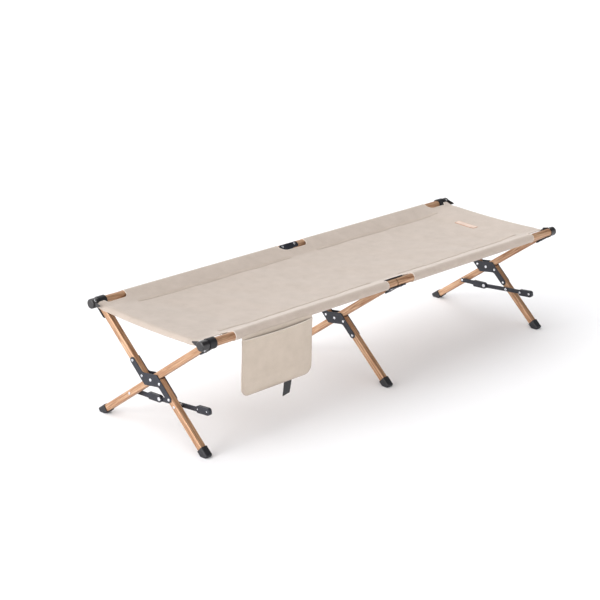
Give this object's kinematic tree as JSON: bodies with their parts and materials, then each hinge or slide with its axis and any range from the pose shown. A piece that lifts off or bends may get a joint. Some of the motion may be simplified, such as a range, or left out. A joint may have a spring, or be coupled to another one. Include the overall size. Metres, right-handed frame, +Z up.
{
  "type": "folding camp cot",
  "caption": "Folding camp cot with a canvas sheet on two side rails, scissor leg frames, locking lever knees and a side pocket.",
  "frame": {"origin": "on the floor under the middle of the cot's outline", "axes": "+X along the cot towards the head end with the patch, +Y across it away from the pocket side, +Z up"},
  "size_m": [1.8946, 0.5885, 0.4195],
  "materials": {
    "canvas": "plain woven polyester canvas",
    "webbing": "black woven webbing",
    "leather_patch": "smooth tan leather",
    "rubber_feet": "matt black rubber",
    "rivets": "zinc-plated rivets",
    "plastic_fittings": "moulded black nylon",
    "wood_grain_tube": "anodised tube with a printed wood grain",
    "black_steel": "black powder coat"
  },
  "bodies": {
    "front_side": {"front_rail_left": "wood_grain_tube", "front_bracket_left": "plastic_fittings", "front_cap_left": "plastic_fittings", "front_sleeve_left": "canvas", "front_rail_right": "wood_grain_tube", "front_bracket_right": "plastic_fittings", "front_cap_right": "plastic_fittings", "front_sleeve_right": "canvas", "front_hinge_plates": "black_steel", "front_hinge_rivets": "rivets", "front_bracket_rivets": "rivets", "straight_leg_left": "wood_grain_tube", "straight_leg_middle": "wood_grain_tube", "straight_leg_right": "wood_grain_tube", "rear_foot_left": "rubber_feet", "rear_foot_middle": "rubber_feet", "rear_foot_right": "rubber_feet", "scissor_pins": "rivets", "link_studs": "rivets", "canvas_sheet": "canvas", "label_patch": "leather_patch"},
    "rear_side": {"rear_rail_left": "wood_grain_tube", "rear_bracket_left": "plastic_fittings", "rear_cap_left": "plastic_fittings", "rear_sleeve_left": "canvas", "rear_rail_right": "wood_grain_tube", "rear_bracket_right": "plastic_fittings", "rear_cap_right": "plastic_fittings", "rear_sleeve_right": "canvas", "rear_hinge_plates": "black_steel", "rear_hinge_rivets": "rivets", "rear_bracket_rivets": "rivets", "split_leg_upper_left": "wood_grain_tube", "split_leg_lower_left": "wood_grain_tube", "front_foot_left": "rubber_feet", "cross_plates_left": "black_steel", "split_leg_upper_middle": "wood_grain_tube", "split_leg_lower_middle": "wood_grain_tube", "front_foot_middle": "rubber_feet", "cross_plates_middle": "black_steel", "split_leg_upper_right": "wood_grain_tube", "split_leg_lower_right": "wood_grain_tube", "front_foot_right": "rubber_feet", "cross_plates_right": "black_steel", "plate_rivets": "rivets", "lever_studs": "rivets"},
    "left_link": {"knee_link_left": "black_steel", "knee_pin_left": "rivets"},
    "left_lever": {"knee_lever_left": "black_steel", "lever_grip_left": "black_steel", "lever_rivets_left": "rivets"},
    "right_link": {"knee_link_right": "black_steel", "knee_pin_right": "rivets"},
    "right_lever": {"knee_lever_right": "black_steel", "lever_grip_right": "black_steel", "lever_rivets_right": "rivets"},
    "pocket": {"pocket_bag": "canvas", "pocket_strap": "webbing"}
  },
  "joints": [
    {"name": "scissor_fold", "type": "hinge", "parent": "front_side", "child": "rear_side", "pos_m": [0, 0.00475, 0.197], "axis": [1, 0, 0], "range_deg": [0, 96], "deforming": ["canvas_sheet", "label_patch"]},
    {"name": "left_knee_link", "type": "hinge", "parent": "front_side", "child": "left_link", "pos_m": [-0.902, 0.11505, 0.11407], "axis": [1, 0, 0], "range_deg": [-30.44, 0]},
    {"name": "left_knee_lever", "type": "hinge", "parent": "left_link", "child": "left_lever", "pos_m": [-0.902, -0.00145, 0.12108], "axis": [1, 0, 0], "range_deg": [0, 162.28]},
    {"name": "right_knee_link", "type": "hinge", "parent": "front_side", "child": "right_link", "pos_m": [0.902, 0.11505, 0.11407], "axis": [1, 0, 0], "range_deg": [-30.44, 0]},
    {"name": "right_knee_lever", "type": "hinge", "parent": "right_link", "child": "right_lever", "pos_m": [0.902, -0.00145, 0.12108], "axis": [1, 0, 0], "range_deg": [0, 162.28]},
    {"name": "pocket_swing", "type": "hinge", "parent": "front_side", "child": "pocket", "pos_m": [-0.61, -0.28125, 0.388], "axis": [1, 0, 0], "range_deg": [-75, 20]}
  ],
  "couplings": [
    {"joint": "left_knee_link", "follows": "scissor_fold", "ratio": -0.31192},
    {"joint": "left_knee_lever", "follows": "scissor_fold", "ratio": 1.6852},
    {"joint": "right_knee_link", "follows": "scissor_fold", "ratio": -0.31192},
    {"joint": "right_knee_lever", "follows": "scissor_fold", "ratio": 1.6852}
  ]
}
